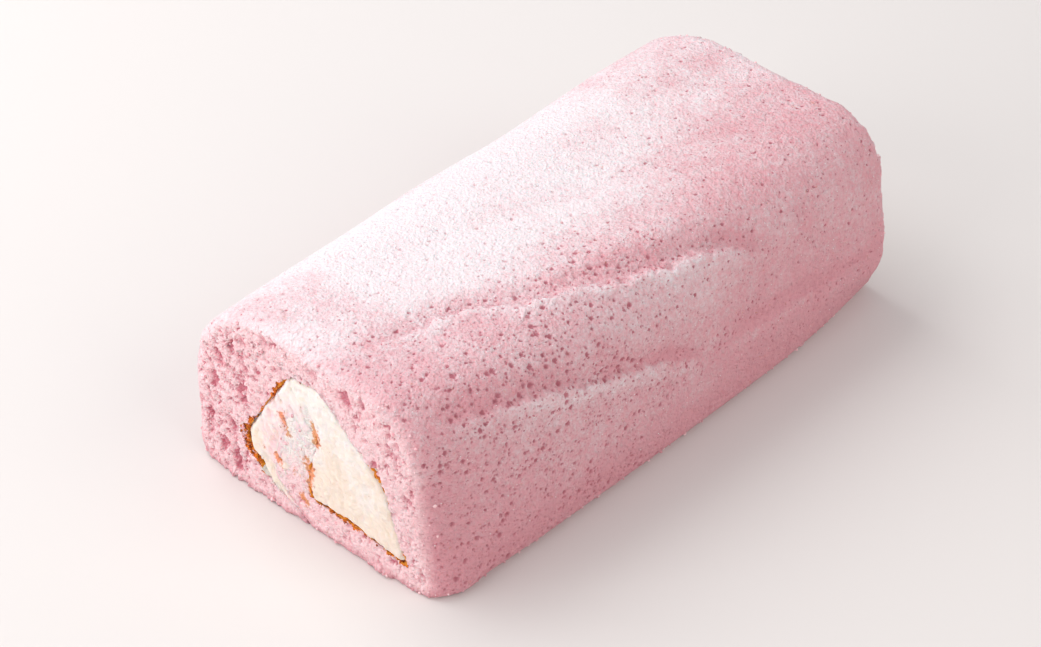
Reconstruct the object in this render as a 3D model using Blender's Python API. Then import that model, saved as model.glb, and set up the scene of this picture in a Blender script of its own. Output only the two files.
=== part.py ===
"""Swiss roll cake: a whole roll of rose sponge, wound round cream and cut square at both ends.

Metres, +Z up. The roll lies along Y with its show end towards -Y. The origin is on the ground
under the middle of the roll. The sponge is one sheet, and it starts in the middle of the roll as a
tongue, runs to the right under the cream, then up, over and down the left, and ends in a thin
edge that meets the foot of the tongue underneath. The cream fills what the sheet leaves.
"""
import math

import bmesh
import bpy
from mathutils import Vector, noise

MM = 0.001

# Driving dimensions, in millimetres
LENGTH = 170.0
FACE_WIDTH = 83.0            # the cut end
FACE_HEIGHT = 53.6
BODY_WIDTH = 93.4            # the body behind it, which the knife did not press
BODY_HEIGHT = 57.0
FLOOR_LAYER = 9.6            # thickness of the sheet under the cream
RIGHT_WALL = 7.7             # at the foot of the right wall
SKY_LAYER = 8.0              # over the top of the cream
LEFT_WALL = 20.9             # at its thickest, where the sheet is slack
TONGUE_TOP = 39.0            # height of the sheet's inner edge
TONGUE_HALF = 8.0            # half the tongue's thickness, at mid height
SEAM_X = -4.3                # where the sheet's outer edge meets the tongue's foot
SEAM_WIDTH = 1.6
EDGE = 0.7                   # thickness of the sheet's outer edge
GAP = 0.3                    # air between sponge and cream

SWELL_REACH = 24.0           # how fast the body fills out behind the cut end
SWELL_SHAPE = 0.85
BACK_TUCK = 0.12             # share of the swell that is lost at the back end
BACK_REACH = 7.0

LUMP_SIZE = 38.0             # unevenness of the hand rolled body
LUMP_HEIGHT = 0.9
LUMP_FREE = 14.0             # height at which the lumps reach full size

ARC_STEP = math.radians(22)
LINE_STEP = 9.0
STATIONS = 24

# The cut end's outline runs between these, with X measured from the middle of the body
LEFT = -BODY_WIDTH / 2
RIGHT = LEFT + FACE_WIDTH
TONGUE_X = -11.3             # middle of the tongue at mid height

ROSE = (0.60, 0.31, 0.33, 1.0)
IVORY = (0.93, 0.83, 0.74, 1.0)


def outside_corners():
    """Corners of the sheet's outer side, from the tongue's tip to the sheet's outer edge.

    Each is X, Z and the radius that rounds it.
    """
    return [
        (TONGUE_X + 5.6, TONGUE_TOP, 1.2),
        (TONGUE_X - 1.6, TONGUE_TOP - 5.5, 8.0),
        (TONGUE_X - TONGUE_HALF, FLOOR_LAYER, 7.0),
        (SEAM_X + SEAM_WIDTH / 2, 0.0, 3.0),
        (RIGHT + 0.6, 0.0, 3.6),
        (RIGHT - 4.6, FACE_HEIGHT, 17.0),
        (LEFT + 0.6, FACE_HEIGHT, 27.0),
        (LEFT, 0.0, 6.5),
        (SEAM_X - SEAM_WIDTH / 2, 0.0, 0.2),
    ]


def inside_corners():
    """Corners of the sheet's inner side, which touches the cream, from the edge to the tip."""
    return [
        (SEAM_X - SEAM_WIDTH, EDGE, 0.2),
        (TONGUE_X - TONGUE_HALF - 1.3, FLOOR_LAYER - 0.8, 9.0),
        (LEFT + LEFT_WALL, 18.6, 3.5),
        (TONGUE_X + 1.8, FACE_HEIGHT - SKY_LAYER - 0.6, 6.0),
        (TONGUE_X + 13.6, FACE_HEIGHT - SKY_LAYER, 6.0),
        (RIGHT - RIGHT_WALL - 6.3, FLOOR_LAYER + 17.7, 10.0),
        (RIGHT - RIGHT_WALL - 0.2, FLOOR_LAYER - 2.8, 1.1),
        (RIGHT - 24.0, FLOOR_LAYER + 0.8, 30.0),
        (TONGUE_X + TONGUE_HALF, FLOOR_LAYER + 0.2, 2.0),
        (TONGUE_X + TONGUE_HALF + 0.3, 19.5, 9.0),
        (TONGUE_X + 12.0, TONGUE_TOP - 7.5, 9.0),
        (TONGUE_X + 9.0, TONGUE_TOP, 1.2),
    ]


def rounded_outline(corners):
    """Round each corner of a closed polygon and return its points, and where each corner starts."""
    points, starts = [], []
    for i, (x, z, radius) in enumerate(corners):
        corner = Vector((x, z))
        to_last = (Vector(corners[i - 1][:2]) - corner).normalized()
        to_next = (Vector(corners[(i + 1) % len(corners)][:2]) - corner).normalized()
        half = to_last.angle(to_next) / 2
        centre = corner + (to_last + to_next).normalized() * radius / math.sin(half)
        reach = radius / math.tan(half)
        first = corner + to_last * reach - centre
        turn = first.angle_signed(corner + to_next * reach - centre)
        arc_count = max(1, math.ceil(abs(turn) / ARC_STEP))
        if points:
            points += line_points(points[-1], centre + first)
        starts.append(len(points))
        for k in range(arc_count + 1):
            angle = -turn * k / arc_count
            points.append(centre + Vector((
                first.x * math.cos(angle) - first.y * math.sin(angle),
                first.x * math.sin(angle) + first.y * math.cos(angle))))
    return points + line_points(points[-1], points[0]), starts


def line_points(start, end):
    """Points between two ends of a straight run, both left out."""
    count = math.ceil((end - start).length / LINE_STEP)
    return [start.lerp(end, k / count) for k in range(1, count)]


def sponge_outline():
    return rounded_outline(outside_corners() + inside_corners())


def cream_outline():
    """The room that the sheet leaves, a gap smaller all round, down to the end of the cream's tail."""
    outline, starts = sponge_outline()
    first_inside = len(outside_corners())
    tail_below = starts[first_inside + 1] - 2
    tail_above = starts[3] + 1
    room = outline[tail_below:] + outline[:tail_above]
    shrunk = []
    for i, point in enumerate(room[1:-1], 1):
        along = (room[i + 1] - room[i - 1]).normalized()
        shrunk.append(point + Vector((along.y, -along.x)) * GAP)
    return shrunk


def swell(y):
    """Share of the full body size that the roll has at a distance y from the show end."""
    front = 1 - math.exp(-((y / SWELL_REACH) ** SWELL_SHAPE))
    back = 1 - BACK_TUCK * math.exp(-(LENGTH - y) / BACK_REACH)
    return front * back


def place(point, y):
    """Carry a point of the cut end's outline to the section at y, and return it in metres."""
    share = swell(y)
    x = LEFT + (point.x - LEFT) * (1 + share * (BODY_WIDTH / FACE_WIDTH - 1))
    z = point.y * (1 + share * (BODY_HEIGHT / FACE_HEIGHT - 1))
    middle = Vector((x, y - LENGTH / 2, z))
    push = Vector((x, 0, z - BODY_HEIGHT / 2)).normalized() * LUMP_HEIGHT
    free = min(1.0, z / LUMP_FREE)
    lump = noise.noise(middle / LUMP_SIZE) * free * share
    return (middle + push * lump) * MM


def loft(name, outline, colour, roughness, collection):
    """Draw a closed outline out along the roll, and close it with a flat face at both ends."""
    work = bmesh.new()
    rings = []
    for j in range(STATIONS + 1):
        t = j / STATIONS
        y = LENGTH * (t - math.sin(2 * math.pi * t) / (4 * math.pi))
        rings.append([work.verts.new(place(point, y)) for point in outline])
    count = len(outline)
    for near, far in zip(rings, rings[1:]):
        for i in range(count):
            k = (i + 1) % count
            work.faces.new((near[i], near[k], far[k], far[i]))
    work.faces.new(rings[0][::-1])
    work.faces.new(rings[-1])
    work.normal_update()
    bmesh.ops.triangulate(work, faces=work.faces, quad_method="FIXED")
    bmesh.ops.recalc_face_normals(work, faces=work.faces)
    mesh = bpy.data.meshes.new(name)
    work.to_mesh(mesh)
    work.free()
    mesh.shade_smooth()
    mesh.set_sharp_from_angle(angle=math.radians(40))
    mesh.materials.append(material(name, colour, roughness))
    piece = bpy.data.objects.new(name, mesh)
    collection.objects.link(piece)
    return piece


def material(name, colour, roughness):
    finish = bpy.data.materials.new(name + "_finish")
    finish.use_nodes = True
    shader = finish.node_tree.nodes["Principled BSDF"]
    shader.inputs["Base Color"].default_value = colour
    shader.inputs["Roughness"].default_value = roughness
    shader.inputs["Metallic"].default_value = 0.0
    return finish


def main():
    for old in list(bpy.data.objects):
        bpy.data.objects.remove(old)
    collection = bpy.data.collections.new("swiss_roll_cake")
    bpy.context.scene.collection.children.link(collection)
    loft("sponge", sponge_outline()[0], ROSE, 0.9, collection)
    loft("cream", cream_outline(), IVORY, 0.6, collection)


main()
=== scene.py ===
"""Swiss roll cake: rose sponge wound round cream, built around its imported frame.

Lengths inside the functions are in millimetres unless a name says otherwise, and the finished
meshes are in metres. X runs to the right of the show end, Y away from it and Z up.
"""
import math

import bmesh
import bpy
import numpy as np
from bpy.props import FloatProperty, FloatVectorProperty, IntProperty, PointerProperty
from mathutils import Matrix, Vector, noise


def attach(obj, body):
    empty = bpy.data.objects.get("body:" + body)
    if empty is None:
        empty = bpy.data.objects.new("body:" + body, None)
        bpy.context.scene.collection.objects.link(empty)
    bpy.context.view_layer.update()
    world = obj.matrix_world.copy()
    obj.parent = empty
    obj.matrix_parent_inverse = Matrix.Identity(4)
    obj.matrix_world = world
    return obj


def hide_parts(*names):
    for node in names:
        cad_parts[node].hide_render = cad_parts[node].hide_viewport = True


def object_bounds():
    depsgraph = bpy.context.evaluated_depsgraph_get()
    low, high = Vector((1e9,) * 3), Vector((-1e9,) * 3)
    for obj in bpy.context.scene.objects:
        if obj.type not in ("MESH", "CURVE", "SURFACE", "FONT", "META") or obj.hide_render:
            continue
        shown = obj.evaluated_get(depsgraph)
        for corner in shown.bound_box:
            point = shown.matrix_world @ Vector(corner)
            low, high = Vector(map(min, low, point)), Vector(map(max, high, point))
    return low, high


bl_info = {
    "name": "Swiss Roll Cake",
    "version": (1, 0, 0),
    "blender": (4, 5, 0),
    "location": "3D View > Sidebar > Cake",
    "description": "Bakes a rose sponge roll with cream, sugar and crumbs",
    "category": "Add Mesh",
}

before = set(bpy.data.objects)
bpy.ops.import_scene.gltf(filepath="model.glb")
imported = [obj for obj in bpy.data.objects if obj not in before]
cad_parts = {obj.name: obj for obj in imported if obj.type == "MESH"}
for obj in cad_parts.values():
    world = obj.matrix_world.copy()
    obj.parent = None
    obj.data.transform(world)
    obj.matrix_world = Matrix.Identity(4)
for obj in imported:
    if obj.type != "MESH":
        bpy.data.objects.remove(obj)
CAD_LOW, CAD_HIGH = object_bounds()
MM = 0.001
BODY = "root"

# The section of the cut end, which follows the frame's solids
FACE_WIDTH = 83.0
FACE_HEIGHT = 53.6
BODY_WIDTH = 93.4
BODY_HEIGHT = 57.0
LENGTH = (CAD_HIGH.y - CAD_LOW.y) / MM
FLOOR_LAYER = 9.6
RIGHT_WALL = 7.7
SKY_LAYER = 8.0
LEFT_WALL = 20.9
TONGUE_TOP = 39.0
TONGUE_HALF = 8.0
TONGUE_X = -11.3
SEAM_X = -4.3
SEAM_WIDTH = 1.6
EDGE = 0.7
LEFT = -BODY_WIDTH / 2
RIGHT = LEFT + FACE_WIDTH
SWELL_REACH = 24.0
SWELL_SHAPE = 0.85
BACK_TUCK = 0.12
BACK_REACH = 7.0
LUMP_SIZE = 38.0
LUMP_HEIGHT = 0.9
LUMP_FREE = 14.0

# What the soft sponge does beyond the frame
BULGE = 1.7                  # how far the middle of a cut end stands out
BULGE_REACH = 8.0
FOOT_TUCK = 2.4              # how far the right side curls in under the body
FOOT_FLARE = 2.3             # and how far its corner at the show end spreads
BACK_CURL = 3.4              # how much further the foot curls in at the back end
BACK_LEAN = 1.8              # and how far the side above it leans out there


# ---------------------------------------------------------------- settings

class RollSizes(bpy.types.PropertyGroup):
    """Sizes of the roll's surface."""

    grain: FloatProperty(
        name="Grain", description="Spacing of the sponge's points", default=0.36 * MM,
        unit="LENGTH", subtype="DISTANCE")
    rim: FloatProperty(
        name="Rim", description="Rounding where the outside meets a cut end", default=3.4 * MM,
        unit="LENGTH", subtype="DISTANCE")
    fold_depth: FloatProperty(
        name="Fold depth", description="Depth of the creases across the roll", default=1.9 * MM,
        unit="LENGTH", subtype="DISTANCE")
    pore_depth: FloatProperty(
        name="Pore depth", description="Depth of the largest pores", default=0.6 * MM,
        unit="LENGTH", subtype="DISTANCE")
    crumb_count: IntProperty(
        name="Crumbs", description="Crumbs that cling to the rims and the foot", default=1600)
    grain_count: IntProperty(
        name="Sugar grains", description="Grains of sugar on top", default=9000)
    flake_count: IntProperty(
        name="Skin flakes", description="Torn bits of browned skin round the cream", default=900)


class RollColours(bpy.types.PropertyGroup):
    """Colours of the cake."""

    rose: FloatVectorProperty(
        name="Rose", description="Outside of the sponge", subtype="COLOR", size=3,
        default=(0.73, 0.35, 0.39))
    # Deep rose: the sponge's own deeper pink where no sugar lies, also used as painted shade that darkens the
    # pores by their depth.
    rose_deep_and_pore_shade: FloatVectorProperty(
        name="Deep rose", description="Inside the pores", subtype="COLOR", size=3,
        default=(0.46, 0.12, 0.16))
    crumb: FloatVectorProperty(
        name="Crumb", description="Cut face of the sponge", subtype="COLOR", size=3,
        default=(0.95, 0.66, 0.68))
    sugar: FloatVectorProperty(
        name="Sugar", description="Powdered sugar", subtype="COLOR", size=3,
        default=(0.86, 0.80, 0.82))
    # Pit: painted shade, the darker, saturated pink laid into the holes and clefts of the cut face.
    pit: FloatVectorProperty(
        name="Pit", description="Inside the holes of the cut face", subtype="COLOR", size=3,
        default=(0.66, 0.21, 0.265))
    caramel: FloatVectorProperty(
        name="Caramel", description="Browned skin", subtype="COLOR", size=3,
        default=(0.80, 0.195, 0.02))
    toasted: FloatVectorProperty(
        name="Toasted", description="Browned skin next to the cream", subtype="COLOR", size=3,
        default=(0.95, 0.35, 0.035))
    scorched: FloatVectorProperty(
        name="Scorched", description="Darkest browned skin", subtype="COLOR", size=3,
        default=(0.24, 0.04, 0.006))
    cream: FloatVectorProperty(
        name="Cream", description="Whipped cream", subtype="COLOR", size=3,
        default=(0.87, 0.81, 0.765))


# ---------------------------------------------------------------- the section

def outside_corners():
    """Corners of the sheet's outer side from the tongue's tip to the edge: X, Z and radius."""
    return [
        (TONGUE_X + 7.3, TONGUE_TOP + 0.1, 0.0),
        (TONGUE_X + 4.7, TONGUE_TOP - 0.1, 1.6),
        (TONGUE_X - 1.6, TONGUE_TOP - 5.5, 7.0),
        (TONGUE_X - TONGUE_HALF, FLOOR_LAYER, 7.0),
        (SEAM_X + SEAM_WIDTH / 2, 0.0, 3.0),
        (RIGHT + 0.6, 0.0, 3.6),
        (RIGHT - 4.6, FACE_HEIGHT, 17.0),
        (LEFT + 0.6, FACE_HEIGHT, 27.0),
        (LEFT, 0.0, 6.5),
        (SEAM_X - SEAM_WIDTH / 2, 0.0, 0.0),
    ]


def inside_corners():
    """Corners of the sheet's browned side from the tongue's tip to the edge."""
    return [
        (TONGUE_X + 7.8, TONGUE_TOP + 0.1, 0.0),
        (TONGUE_X + 9.2, TONGUE_TOP - 0.1, 0.9),
        (TONGUE_X + 12.0, TONGUE_TOP - 7.5, 9.0),
        (TONGUE_X + TONGUE_HALF + 0.3, 19.5, 9.0),
        (TONGUE_X + TONGUE_HALF, FLOOR_LAYER + 0.2, 2.0),
        (RIGHT - 24.0, FLOOR_LAYER + 0.8, 30.0),
        (RIGHT - RIGHT_WALL - 0.2, FLOOR_LAYER - 2.8, 1.1),
        (RIGHT - RIGHT_WALL - 6.3, FLOOR_LAYER + 17.7, 10.0),
        (TONGUE_X + 13.6, FACE_HEIGHT - SKY_LAYER, 6.0),
        (TONGUE_X + 1.8, FACE_HEIGHT - SKY_LAYER - 0.6, 6.0),
        (LEFT + LEFT_WALL, 18.6, 3.5),
        (TONGUE_X - TONGUE_HALF - 1.3, FLOOR_LAYER - 0.8, 9.0),
        (SEAM_X - SEAM_WIDTH, EDGE, 0.0),
    ]


# Corners of the outer and the browned side that lie across the sheet from each other
ACROSS = [(0, 0), (3, 4), (5, 6), (7, 9), (8, 10), (9, 12)]


def rounded_path(corners, step=0.2):
    """Points of an open path with rounded corners, their distances along it, and each corner's."""
    points, corner_at = [np.array(corners[0][:2])], [0]
    for before, (x, z, radius), after in zip(corners, corners[1:], corners[2:]):
        corner = np.array((x, z))
        to_last = np.array(before[:2]) - corner
        to_next = np.array(after[:2]) - corner
        to_last /= np.linalg.norm(to_last)
        to_next /= np.linalg.norm(to_next)
        half = math.acos(to_last @ to_next) / 2
        middle = to_last + to_next
        centre = corner + middle / np.linalg.norm(middle) * radius / math.sin(half)
        first = corner + to_last * radius / math.tan(half) - centre
        last = corner + to_next * radius / math.tan(half) - centre
        start = math.atan2(first[1], first[0])
        turn = (math.atan2(last[1], last[0]) - start + math.pi) % math.tau - math.pi
        count = 2 * max(1, math.ceil(abs(turn) * radius / step / 2))
        for k in range(count + 1):
            angle = start + turn * k / count
            points.append(centre + radius * np.array((math.cos(angle), math.sin(angle))))
        corner_at.append(len(points) - 1 - count // 2)
    points.append(np.array(corners[-1][:2]))
    corner_at.append(len(points) - 1)
    path = np.array(points)
    along = np.concatenate([[0.0], np.cumsum(np.linalg.norm(np.diff(path, axis=0), axis=1))])
    return path, along, along[corner_at]


def on_path(path, along, where):
    return np.stack([np.interp(where, along, path[:, 0]), np.interp(where, along, path[:, 1])], -1)


def sheet_ribs(step):
    """Matching points of the outer and the browned side, a step apart along the outer side."""
    outer, outer_along, outer_corner = rounded_path(outside_corners())
    inner, inner_along, inner_corner = rounded_path(inside_corners())
    outer_at, inner_at = [np.zeros(1)], [np.zeros(1)]
    for (a, b), (c, d) in zip(ACROSS, ACROSS[1:]):
        count = max(2, round((outer_corner[c] - outer_corner[a]) / step))
        share = np.arange(1, count + 1) / count
        outer_at.append(outer_corner[a] + (outer_corner[c] - outer_corner[a]) * share)
        inner_at.append(inner_corner[b] + (inner_corner[d] - inner_corner[b]) * share)
    outer_at, inner_at = np.concatenate(outer_at), np.concatenate(inner_at)
    return on_path(outer, outer_along, outer_at), on_path(inner, inner_along, inner_at), outer_at


def swell(y):
    """Share of the full body size at a distance y from the show end."""
    front = 1 - np.exp(-((y / SWELL_REACH) ** SWELL_SHAPE))
    back = 1 - BACK_TUCK * np.exp(-(LENGTH - y) / BACK_REACH)
    return front * back


def outward(points):
    """Unit directions from the roll's core to the points."""
    away = points * (1, 0, 1) - (0, 0, BODY_HEIGHT / 2)
    return away / np.maximum(np.linalg.norm(away, axis=1, keepdims=True), 1e-6)


def bulge(x, z, y):
    """How far the middle of the cut ends stands out of their plane."""
    across = (x - (LEFT + RIGHT) / 2) / (FACE_WIDTH / 2)
    share = np.clip(1 - across ** 4, 0, 1) * np.clip(1 - (z / FACE_HEIGHT) ** 5, 0, 1)
    ends = 0.6 * np.exp((y - LENGTH) / BULGE_REACH) - np.exp(-y / BULGE_REACH)
    return BULGE * share * ends


def foot(x, z, y):
    """How far the right side moves near its foot: in under the body, and out at the show end."""
    right = np.clip((x - 18) / 18, 0, 1)
    low = np.exp(-(z / 9) ** 2)
    tuck = FOOT_TUCK * (1 - np.exp(-(y / 32) ** 2))
    flare = FOOT_FLARE * np.exp(-((y - 6) / 7) ** 2)
    back = np.exp(-((LENGTH - y) / 24) ** 2)
    lean = BACK_LEAN * np.exp(-((z - 22) / 13) ** 2)
    return right * (low * (flare - tuck - BACK_CURL * back) + lean * back)


def place(x, z, y):
    """Carry points of the cut end's section to the sections at y; all arrays of one shape."""
    share = swell(y)
    points = np.stack([
        LEFT + (x - LEFT) * (1 + share * (BODY_WIDTH / FACE_WIDTH - 1)) + foot(x, z, y),
        y - LENGTH / 2 + bulge(x, z, y),
        z * (1 + share * (BODY_HEIGHT / FACE_HEIGHT - 1))], -1)
    lump = np.array([noise.noise(p) for p in (points / LUMP_SIZE).tolist()])
    lump *= LUMP_HEIGHT * np.minimum(1, points[:, 2] / LUMP_FREE) * share
    return points + outward(points) * lump[:, None]


# ---------------------------------------------------------------- creases

class Fold:
    """A crease over the roll, drawn from back to front, with a lip on its right."""

    def __init__(self, points, depth, wide, steep, lip, waver=1.0):
        self.points = np.array(points)
        self.depth, self.wide, self.steep, self.lip, self.waver = depth, wide, steep, lip, waver

    def height(self, points, normals):
        """How far the crease moves each point outwards."""
        length = np.linalg.norm(np.diff(self.points, axis=0), axis=1)
        total, start = length.sum(), 0.0
        near = np.full(len(points), np.inf)
        side, along = np.ones(len(points)), np.zeros(len(points))
        for a, b, size in zip(self.points, self.points[1:], length):
            share = np.clip((points - a) @ (b - a) / size ** 2, 0, 1)
            off = points - a - share[:, None] * (b - a)
            far = np.linalg.norm(off, axis=1)
            closer = far < near
            near = np.where(closer, far, near)
            turned = (np.cross(np.broadcast_to(b - a, off.shape), off) * normals).sum(1)
            side = np.where(closer, np.sign(turned), side)
            along = np.where(closer, (start + share * size) / total, along)
            start += size
        close = near < 4 * self.wide
        across = side[close] * near[close]
        place_there = points[close].tolist()
        across += self.waver * np.array([
            1.6 * noise.noise((x / 7, y / 7, z / 7)) + 0.9 * noise.noise((x / 2.2, y / 2.2, z / 2.2))
            + 0.7 * noise.noise((x / 1.1, y / 1.1, z / 1.1))
            for x, y, z in place_there])
        valley = np.where(
            across < 0, np.exp(-(across / self.wide) ** 2), np.exp(-(across / self.steep) ** 2))
        ridge = np.exp(-((across - 2 * self.steep) / (1.6 * self.steep)) ** 2) * (1 - valley)
        fade = np.clip(np.sin(math.pi * along[close]), 0, 1) ** 0.6
        result = np.zeros(len(points))
        result[close] = fade * (ridge * self.lip - valley * self.depth)
        return result


def folds(depth):
    """The creases: two across the right shoulder and a long shallow one above the foot."""
    return [
        Fold([(41, 33, 45), (37, 12, 52), (31, -13, 56), (26, -26, 57), (21, -38, 57),
              (13, -47, 57), (9, -58, 56), (5, -74, 55)], depth, 5.0, 1.4, 0.45 * depth, 1.2),
        Fold([(44, 8, 25), (43, -3, 29), (43, -17, 36), (41, -36, 42), (38, -52, 46),
              (34, -70, 49), (31, -78, 49)], 0.55 * depth, 4.5, 1.6, 0.35 * depth, 1.3),
        Fold([(44, 84, 17), (46, 50, 22), (44, 18, 25)], 0.3 * depth, 3.5, 2.0, 0.2 * depth),
        Fold([(14, 60, 58), (6, 20, 58), (-6, -20, 57), (-16, -50, 55)],
             0.25 * depth, 7.0, 3.5, 0.15 * depth),
    ]


# ---------------------------------------------------------------- the sponge sheet

def stations(step):
    """Distances from the show end, closer together at both rims."""
    rim = np.array([0, 0.15, 0.4, 0.7, 1.05])
    middle = np.arange(1.5, LENGTH - 1.5, step)
    return np.concatenate([rim, middle, LENGTH - rim[::-1]])


def rim_inset(y, radius):
    """How far the rounded rim draws the outside in, at a distance y from the nearer end."""
    reach = np.clip(radius - y, 0, radius)
    return radius - np.sqrt(radius ** 2 - reach ** 2)


class SheetMesh:
    """Points and faces of the closed sponge sheet, fine where it shows and coarse inside."""

    LAYERS = 42          # points across the sheet on a cut end
    SKIP = 14            # fine steps in a coarse one
    COARSE_STATIONS = 9

    def __init__(self, step, rim, fold_depth):
        self.outer, self.inner, self.along = sheet_ribs(step)
        self.y = stations(step)
        self.ribs, self.rows = len(self.outer), len(self.y)
        self.blocks, self.facts, self.size = [], [], 0
        self.faces = []
        self.through = self.inner - self.outer
        self.thick = np.linalg.norm(self.through, axis=1)
        self.rim = rim
        self.tongue_end = rounded_path(outside_corners())[2][3]
        self.fold_depth = fold_depth
        self.coarse_ribs = sorted({*range(0, self.ribs, self.SKIP), self.ribs - 1})
        self.coarse_rows = [round(v) for v in np.linspace(0, self.rows - 1, self.COARSE_STATIONS)]
        self.lay_outside()
        self.lay_ends()
        self.lay_inside()
        self.close_edges()

    def rim_at(self, rib, back):
        """The rim's radius, which wavers along the sheet and is tight at the foot."""
        x, z = self.outer[rib].T
        wave = np.array([noise.noise((a / 6, b / 6, 9.0 * back)) for a, b in zip(x, z)])
        tight = np.clip(z / 7, 0.2, 1) * (1.25 if back else 1)
        return np.minimum(self.rim * tight * (1 + 0.35 * wave), 0.5 * self.thick[rib])

    def add(self, rib, flat, y, share, cut):
        """Add a block of points; share runs across the sheet from its outer to its browned side."""
        self.blocks.append(place(flat[:, 0], flat[:, 1], y))
        thick, along = self.thick[rib], self.along[rib]
        cut = np.full(len(flat), float(cut))
        self.facts.append(np.stack(
            [flat[:, 0], flat[:, 1], thick * (1 - share), thick * share, cut, along], -1))
        first = self.size
        self.size += len(flat)
        return first

    def quads(self, a, b, c, d):
        self.faces += np.stack([a.ravel(), b.ravel(), c.ravel(), d.ravel()], -1).tolist()

    def lay_outside(self):
        rib = np.repeat(np.arange(self.ribs), self.rows)
        y = np.tile(self.y, self.ribs)
        front = self.rim_at(np.arange(self.ribs), 0)[rib]
        back = self.rim_at(np.arange(self.ribs), 1)[rib]
        inset = np.where(y < LENGTH / 2, rim_inset(y, front), rim_inset(LENGTH - y, back))
        flat = self.outer[rib] + self.through[rib] * (inset / self.thick[rib])[:, None]
        first = self.add(rib, flat, y, inset / self.thick[rib], 0)
        self.out = first + np.arange(self.ribs * self.rows).reshape(self.ribs, self.rows)
        o = self.out
        self.quads(o[:-1, :-1], o[:-1, 1:], o[1:, 1:], o[1:, :-1])

    def lay_ends(self):
        """The two cut ends; their last layer is the rim of the browned side."""
        self.end = {}
        for row in (0, self.rows - 1):
            radius = self.rim_at(np.arange(self.ribs), row > 0)
            start = radius / self.thick
            share = np.linspace(0, 1, self.LAYERS + 1)[1:]
            t = start[:, None] + (1 - start[:, None]) * share
            flat = self.outer[:, None] + self.through[:, None] * t[..., None]
            y = np.full(t.size, self.y[row])
            rib = np.repeat(np.arange(self.ribs), self.LAYERS)
            first = self.add(rib, flat.reshape(-1, 2), y, t.ravel(), 1)
            index = first + np.arange(t.size).reshape(t.shape)
            index = np.concatenate([self.out[:, row][:, None], index], axis=1)
            self.end[row] = index
            a, b, c, d = index[:-1, :-1], index[1:, :-1], index[1:, 1:], index[:-1, 1:]
            self.quads(*((a, b, c, d) if row == 0 else (a, d, c, b)))

    def lay_inside(self):
        """The browned side inside the roll, in coarse steps that meet the fine cut ends."""
        last = self.rows - 1
        self.deep = {}
        for row in self.coarse_rows[1:-1]:
            count = len(self.coarse_ribs)
            flat = self.inner[self.coarse_ribs]
            first = self.add(
                self.coarse_ribs, flat, np.full(count, self.y[row]), np.ones(count), 0)
            for k, rib in enumerate(self.coarse_ribs):
                self.deep[rib, row] = first + k
        for row in (0, last):
            for rib in range(self.ribs):
                self.deep[rib, row] = int(self.end[row][rib, -1])
        for near, far in zip(self.coarse_rows, self.coarse_rows[1:]):
            for a, b in zip(self.coarse_ribs, self.coarse_ribs[1:]):
                close = range(a, b + 1) if near == 0 else (a, b)
                away = range(b, a - 1, -1) if far == last else (b, a)
                self.faces.append(
                    [self.deep[rib, near] for rib in close] + [self.deep[rib, far] for rib in away])

    def close_edges(self):
        """The sheet's first and last edges, between its outer and its browned side."""
        last = self.rows - 1
        for rib, turned in ((0, True), (self.ribs - 1, False)):
            for near, far in zip(self.coarse_rows, self.coarse_rows[1:]):
                ring = self.out[rib, near:far + 1].tolist()
                if far == last:
                    ring += self.end[last][rib, 1:-1].tolist()
                ring += [self.deep[rib, far], self.deep[rib, near]]
                if near == 0:
                    ring += self.end[0][rib, 1:-1][::-1].tolist()
                self.faces.append(ring[::-1] if turned else ring)

    def teeth(self, points):
        """Torn bits that stand out of the foot of both cut ends and of the back end's rim."""
        out = np.zeros(len(points))
        rim = np.clip((np.hypot(points[:, 0], points[:, 2] - 20) - 34) / 4, 0, 1) * (points[:, 1] > 0)
        share = np.maximum(0.8 * rim, np.exp(-((points[:, 2] - 0.6) / 2.2) ** 2))
        torn = np.nonzero((share > 0.01) & (np.abs(points[:, 1]) > LENGTH / 2 - 3))[0]
        bits, patch = np.array([
            (1.7 * noise.noise((x / 1.9, z / 2.4, y / 40)) + 1.1 * noise.noise((x / 0.9, z / 1.2, y / 40)),
             0.65 + 0.8 * noise.noise((x / 9, z / 12, y / 40)))
            for x, y, z in points[torn].tolist()]).T
        near = np.clip((np.abs(points[torn, 1]) - LENGTH / 2 + 3) / 2.5, 0, 1)
        out[torn] = np.sign(points[torn, 1]) * np.clip(bits + 0.1, -0.2, 1.6) * near * patch * share[torn]
        return out

    def build(self, name):
        points = np.concatenate(self.blocks)
        x, z, gap, skin, cut, along = np.concatenate(self.facts).T
        lift = np.zeros(len(points))
        normals = outward(points)
        for fold in folds(self.fold_depth):
            lift += fold.height(points, normals)
        ends = np.clip((LENGTH / 2 - np.abs(points[:, 1])) / 3, 0, 1)
        lift *= ends * ((cut > 0) | (gap > 0.5))
        points = points + normals * lift[:, None]
        points[:, 1] += self.teeth(points)
        mesh = bpy.data.meshes.new(name)
        mesh.from_pydata(points * MM, [], self.faces)
        tongue = np.clip((self.tongue_end + 2 - along) / 4, 0, 1)
        slack = np.clip((-17 - x) / 12, 0, 1)
        smear = smear_cover(x, z) * cut * tongue
        put(mesh, "rest", points * MM)
        put(mesh, "section", np.stack([x, z, along], -1))
        put(mesh, "gap", gap)
        put(mesh, "cut", cut)
        put(mesh, "torn", np.clip((skin - 0.4) / 2.6, 0, 1))
        put(mesh, "tear", np.clip(skin / 5, 0.3, 1) * (0.75 + 0.6 * slack) * (1 - 0.75 * smear))
        put(mesh, "cavity", strokes(CAVITIES, x, z) * cut)
        put(mesh, "brown", skin_width(x, z) * cut)
        put(mesh, "smear", smear)
        put(mesh, "stain", strokes(STAINS, x, z) * cut)
        # Sugar share with painted light in it: whiter out to the left, where the window light falls.
        put(mesh, "dust", sugar_and_light_cover(points, lift) * np.exp(-(skin / 3.4) ** 2))
        put(mesh, "holes", holes(points, lift))
        return mesh


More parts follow.
